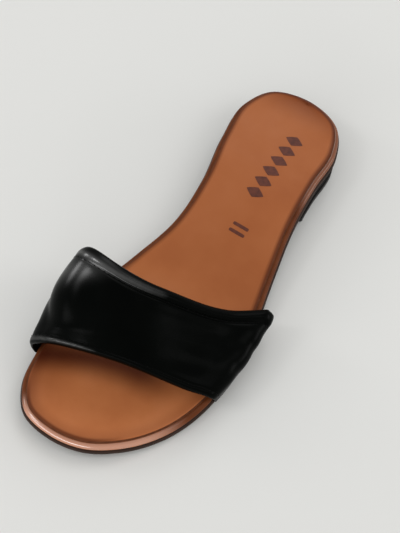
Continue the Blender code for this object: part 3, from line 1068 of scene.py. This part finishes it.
# %% [markdown]
# ## Padding, edge seams and creases
# Along both edges the leather is turned over a roll and sewn, a wide roll at the back and a narrow one in
# front, which leaves a groove; between the grooves the foam fills out. A table for each roll gives the
# fullness from the edge inward. On the medial shoulder the back groove runs out flat. The creases are
# listed one by one, each as a line on the strap with a depth and a width: troughs go in, and ridges, whose
# depth is below zero, stand out. A cloth simulation could wrinkle the band, but not where the real one is
# wrinkled.
# Strokes of the same kind mark where the leather is rubbed to a shine.

# %% Padding across the strap
BACK_ROLL = (
    # from_edge, fullness
    (0.0, 0.50),
    (1.2, 0.74),
    (2.6, 0.92),
    (4.2, 1.0),
    (5.8, 0.90),
    (7.3, 0.62),
    (8.8, 0.80),
    (11.5, 0.95),
    (16.0, 1.0),
    (30.0, 1.0),
)
FRONT_ROLL = (
    # from_edge, fullness
    (0.0, 0.70),
    (0.8, 0.86),
    (1.6, 0.87),
    (2.7, 0.79),
    (4.6, 0.87),
    (8.0, 0.96),
    (14.0, 1.0),
    (30.0, 1.0),
)
SEAM_FROM_EDGE = {"back": 7.3, "front": 2.7}
FINE_STEP = 0.45
FINE_UNTIL = 9.9
COARSE_ROWS = 30


def strap_shares():
    """Places across the strap's width for its rows of points, closer together near the seams."""
    fine = np.arange(0.0, FINE_UNTIL, FINE_STEP) / STRAP_WIDTH
    middle = np.linspace(FINE_UNTIL / STRAP_WIDTH, 1.0 - FINE_UNTIL / STRAP_WIDTH, COARSE_ROWS)
    return np.concatenate([fine, middle, 1.0 - fine[::-1]])


SHARES = strap_shares()
FROM_EDGE = np.minimum(SHARES, 1.0 - SHARES) * STRAP_WIDTH


def fullness():
    """How far the padding fills each row: the front roll's table, then the back roll's."""
    back, front = (curve_through(rows, 12).T for rows in (BACK_ROLL, FRONT_ROLL))
    return np.where(SHARES < 0.5, np.interp(FROM_EDGE, *front), np.interp(FROM_EDGE, *back))


FULLNESS = fullness()
print(len(SHARES), "rows across the strap")

# %% Creases
CREASES = (
    # from (across, back), to (across, back), bend, depth, half_width; across 0 medial to 1 lateral foot
    ((0.255, 0.64), (0.240, 0.24), 0.0, -1.2, 11.0),
    ((0.44, 0.88), (0.46, 0.52), -2.0, -1.3, 8.0),
    ((0.33, 0.72), (0.36, 0.40), 2.0, 0.7, 6.0),
    ((0.13, 0.62), (0.17, 0.14), 1.5, 0.6, 4.0),
    ((0.56, 0.66), (0.90, 0.64), 4.0, 1.0, 8.0),
    ((0.56, 0.30), (0.92, 0.40), -3.0, -0.9, 9.0),
    ((0.66, 0.12), (0.90, 0.14), 2.0, 0.6, 6.0),
    ((0.86, 0.88), (0.94, 0.72), 2.0, 0.7, 3.5),
    ((0.87, 0.64), (0.95, 0.52), 2.0, 0.6, 3.0),
    ((0.88, 0.40), (0.95, 0.26), 1.0, 0.6, 3.0),
)
RUBBED = (
    # from, to, bend, shine, half_width
    ((0.22, 0.92), (0.54, 0.93), 0.0, 1.0, 1.5),
    ((0.36, 0.93), (0.22, 0.62), 0.0, 0.5, 4.5),
    ((0.02, 0.01), (0.40, 0.01), 0.0, 0.6, 0.9),
)
STROKE_POINTS = 41
STROKE_ENDS = 0.08


def stroke_field(chart, strokes):
    """Sum of soft strokes on the strap's flat chart, each full along its line and fading aside."""
    field = np.zeros(chart.shape[:2])
    size = np.array([chart[:, :, 0].max(), STRAP_WIDTH])
    for start, end, bend, depth, half_width in strokes:
        start, end = np.array(start) * size, np.array(end) * size
        t = np.linspace(0.0, 1.0, STROKE_POINTS)[:, None]
        normal = unit(np.array([start[1] - end[1], end[0] - start[0]]))
        stroke = start + (end - start) * t + normal * bend * 4.0 * t * (1.0 - t)
        away = np.linalg.norm(chart[:, :, None, :] - stroke, axis=-1)
        fade = np.sin(math.pi * (STROKE_ENDS + (1.0 - 2.0 * STROKE_ENDS) * t[:, 0]))
        field += depth * np.max(fade * np.exp(-((away / half_width) ** 2)), axis=-1)
    return field


# %% Surfaces of the strap
SUNK_OUTSIDE = 0.8
ROLL_CREST = 4.2
SHOULDER_START = 0.26
SHOULDER_FADE = 0.16
GROOVE_AT_SHOULDER = 0.15
CALM_EDGE = (2.0, 8.0)
LINING_START = 8.5
LINING_FADE = 0.8
LINING_THICK = 0.35


def groove_share(across):
    """How deep the back seam's groove is over the foot: it runs out flat on the medial shoulder."""
    past_shoulder = smoothstep((across - SHOULDER_START) / SHOULDER_FADE)
    share = GROOVE_AT_SHOULDER + (1.0 - GROOVE_AT_SHOULDER) * past_shoulder
    inside_roll = (SHARES > 0.5) & (FROM_EDGE > ROLL_CREST)
    return np.where(inside_roll[:, None], share, 1.0)


def distance_along(line):
    """How far each point of a line, or of a stack of lines, is from its start."""
    steps = np.linalg.norm(np.diff(line, axis=-2), axis=-1)
    return np.concatenate([np.zeros((*steps.shape[:-1], 1)), np.cumsum(steps, axis=-1)], axis=-1)


def strap_surfaces():
    """Outer and inner grids of the arch, rows across the strap's width and columns across the foot."""
    lining = np.array([strap_line(share) for share in SHARES])
    across_foot = np.gradient(lining, axis=1)
    across_width = np.gradient(lining, axis=0)
    outward = unit(np.cross(across_foot, across_width))
    above = lining[:, :, 2] - footbed_low(lining[:, :, 1])
    padding = eased(above, THICKEN_START, THICKEN_END)
    full_thick = WALL_THICK + (STRAP_THICK - WALL_THICK) * padding
    travelled = distance_along(lining)
    across = travelled / travelled[:, -1:]
    sunk = (1.0 - FULLNESS[:, None]) * full_thick * padding * groove_share(across)
    back = np.broadcast_to(SHARES[:, None] * STRAP_WIDTH, travelled.shape)
    chart = np.stack([across * travelled[:, -1].mean(), back], axis=2)
    pressed = stroke_field(chart, CREASES) * eased(FROM_EDGE, *CALM_EDGE)[:, None]
    lined = LINING_THICK * smoothstep((FROM_EDGE - LINING_START) / LINING_FADE)[:, None] * padding
    outer = lining + outward * (full_thick - SUNK_OUTSIDE * sunk - pressed)[:, :, None]
    inner = lining + outward * ((1.0 - SUNK_OUTSIDE) * sunk - lined)[:, :, None]
    return outer, inner, outward, np.clip(stroke_field(chart, RUBBED), 0.0, 1.0)


arch_outer, arch_inner, arch_outward, arch_polish = strap_surfaces()
print("strap: highest point", round(float(arch_outer[:, :, 2].max()), 1), "mm above the floor")

# %% [markdown]
# ## Black leather and its lining
# The strap's leather is smooth, soft and nearly black, with clear soft highlights only where it is rubbed:
# on the shoulder, the back roll and the front edge. That shine is a coat, laid on by the strokes of the
# step before. The grain is a fine cell pattern in bump, the gloss wanders a little, and low noise gives the
# surface the slight unrest of a skin over foam. The lining inside is a duller black.

# %% Black leather and lining
BLACK_LEATHER = (0.0006, 0.0009, 0.0007)
BLACK_WORN = (0.0012, 0.0016, 0.0013)
LINING_BLACK = (0.010, 0.009, 0.009)
STRAP_COAT_IOR = 2.0


def black_leather_finish():
    finish = Finish(
        "black_leather", BLACK_LEATHER, roughness=0.25, specular=0.025, coat_roughness=0.25)
    finish.set("Coat IOR", STRAP_COAT_IOR)
    finish.vary("Coat Weight", finish.marked("polish"))
    finish.wander(size_mm=9.0, low=0.21, high=0.30)
    finish.mottle(20.0, (0.3, BLACK_LEATHER), (0.75, BLACK_WORN))
    finish.bump(finish.cells(0.75), depth_mm=0.030, strength=0.45)
    finish.bump(finish.noise(7.0, detail=2.0), depth_mm=0.22, strength=0.45)
    return finish


def lining_finish():
    finish = Finish("strap_lining", LINING_BLACK, roughness=0.62, specular=0.3)
    finish.wander(size_mm=6.0, low=0.55, high=0.72)
    finish.bump(finish.cells(0.5), depth_mm=0.04, strength=0.6)
    return finish


black_leather = black_leather_finish()
strap_lining = lining_finish()

# %% [markdown]
# ## The strap's mesh
# For each column across the foot a ring runs over the outside, round the back edge, along the lining and
# round the front edge. The rings are joined from one foot to the other. Below the wall the leather turns
# under the footbed, where it is lasted between footbed and outsole.

# %% Strap
FOOT_ROUND = 1.0
INNER_ROUND = 0.3
EDGE_ROUND = 0.42
EDGE_STEPS = 6
TURN_STEPS = 4


def margin_face(side, share, rise, reach, radius):
    """One face of the margin, from its tip under the footbed out to the wall's foot, where it turns up."""
    along = strap_edge(share)[f"{side}_foot"]
    turn = np.linspace(math.pi / 2.0, 0.0, TURN_STEPS)
    outward = np.array([-MARGIN_WIDTH, -MARGIN_WIDTH / 2.0, 0.0, *(reach - radius * (1.0 - np.cos(turn)))])
    height = footbed_low(along) + np.array([rise] * 3 + [*(rise + radius * (1.0 - np.sin(turn)))])
    return np.column_stack([edge_x(side, along, outward), np.full_like(outward, along), height])


def with_margins(share, arch, *face):
    """A row of the arch with a face of the medial margin before it and of the lateral one after it."""
    medial, lateral = (margin_face(side, share, *face) for side in ("medial", "lateral"))
    return np.vstack([medial, arch, lateral[::-1]])


def rounded_edge(outer, inner, step_out):
    """Points round the strap's edge from one surface to the other."""
    swell = step_out * np.linalg.norm(inner - outer) * EDGE_ROUND
    turn = np.linspace(0.0, math.pi, EDGE_STEPS + 2)[1:-1]
    return [outer + (inner - outer) * (1.0 - math.cos(a)) / 2.0 + swell * math.sin(a) for a in turn]


def make_strap():
    lower_face = (0.0, WALL_GAP + WALL_THICK, FOOT_ROUND)
    upper_face = (MARGIN_THICK, WALL_GAP, INNER_ROUND)
    outer = np.array([with_margins(share, arch, *lower_face) for share, arch in zip(SHARES, arch_outer)])
    inner = np.array([with_margins(share, arch, *upper_face) for share, arch in zip(SHARES, arch_inner)])
    forward, backward = unit(outer[0] - outer[1]), unit(outer[-1] - outer[-2])
    rows, columns = outer.shape[:2]
    points, faces = [], []
    for column in range(columns):
        points += list(outer[:, column])
        points += rounded_edge(outer[-1, column], inner[-1, column], backward[column])
        points += list(inner[::-1, column])
        points += rounded_edge(inner[0, column], outer[0, column], forward[column])
    size = 2 * rows + 2 * EDGE_STEPS
    lined_rows = [row for row in range(rows - 1) if FROM_EDGE[row:row + 2].min() > LINING_START]
    lined = {2 * rows + EDGE_STEPS - 2 - row for row in lined_rows}
    join_rings(faces, 0, size, columns)
    finish_of_face = [int(number % size in lined) for number in range(len(faces))]
    for start in (0, size * (columns - 1)):
        opposite = start + 2 * rows + EDGE_STEPS - 1
        for row in range(rows - 1):
            faces.append((start + row, start + row + 1, opposite - row - 1, opposite - row))
        faces.append(tuple(range(start + rows - 1, start + rows + EDGE_STEPS + 1)))
        faces.append((*range(opposite, start + size), start))
    finish_of_face += [0] * (len(faces) - len(finish_of_face))
    strap = make_piece("strap_padded_band", points, faces, [black_leather, strap_lining], finish_of_face)
    polish = np.zeros((columns, size))
    margin = (columns - arch_polish.shape[1]) // 2
    polish[margin:-margin, :rows] = arch_polish.T
    mark_points(strap, "polish", polish.ravel())
    return strap


strap = make_strap()
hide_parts("strap")

# %% [markdown]
# ## The seam's thread
# The turned edges are sewn down with black thread in the groove. At the photograph's distance no stitch can
# be told apart, but close up the seam needs them. Each stitch is a short tube that rises a little in its
# middle and dives into the leather at both ends, and all of them are one mesh.

# %% Stitches
THREAD_BLACK = (0.0015, 0.0016, 0.0015)
STITCH_PITCH = 3.0
STITCH_LENGTH = 2.3
THREAD_RADIUS = 0.20
THREAD_RISE = 0.10
THREAD_DIVE = 0.30
THREAD_ARC = 0.7
THREAD_SIDES = 6
THREAD_RINGS = 7
SEAM_START_HEIGHT = 4.0


def thread_finish():
    finish = Finish("seam_thread", THREAD_BLACK, roughness=0.55, specular=0.05)
    finish.wander(size_mm=1.0, low=0.42, high=0.6)
    finish.bump(finish.noise(0.3), depth_mm=0.03, strength=0.6)
    return finish


def seam_path(share):
    """The seam's line over the strap and the outward direction there, above the footbed's rim."""
    row = int(np.argmin(np.abs(SHARES - share)))
    line, outward = arch_outer[row], arch_outward[row]
    shown = line[:, 2] - footbed_top(line[:, 1]) > SEAM_START_HEIGHT
    return line[shown], outward[shown]


def add_stitch(points, faces, line, outward):
    """A thread along a short line: rings of points, closed at both ends."""
    start = len(points)
    run = unit(np.gradient(line, axis=0))
    aside = unit(np.cross(run, outward))
    lift = np.cross(aside, run)
    turn = np.linspace(0.0, 2.0 * math.pi, THREAD_SIDES, endpoint=False)
    for i in range(THREAD_RINGS):
        hump = math.sin(math.pi * i / (THREAD_RINGS - 1))
        centre = line[i] + lift[i] * ((THREAD_RISE + THREAD_DIVE) * hump**THREAD_ARC - THREAD_DIVE)
        points += [centre + THREAD_RADIUS * (math.cos(a) * aside[i] + math.sin(a) * lift[i]) for a in turn]
    join_rings(faces, start, THREAD_SIDES, THREAD_RINGS)
    faces.append(tuple(range(start, start + THREAD_SIDES)))
    faces.append(tuple(range(len(points) - THREAD_SIDES, len(points))))


def make_seams():
    points, faces = [], []
    for share in (SEAM_FROM_EDGE["front"] / STRAP_WIDTH, 1.0 - SEAM_FROM_EDGE["back"] / STRAP_WIDTH):
        line, outward = seam_path(share)
        travelled = distance_along(line)
        for begin in np.arange(0.0, travelled[-1] - STITCH_LENGTH, STITCH_PITCH):
            places = np.linspace(begin, begin + STITCH_LENGTH, THREAD_RINGS)
            stitch, facing = (
                np.column_stack([np.interp(places, travelled, axis) for axis in field.T])
                for field in (line, outward)
            )
            add_stitch(points, faces, stitch, facing)
    return make_piece("strap_seam_thread", points, faces, [thread_finish()])


seams = make_seams()
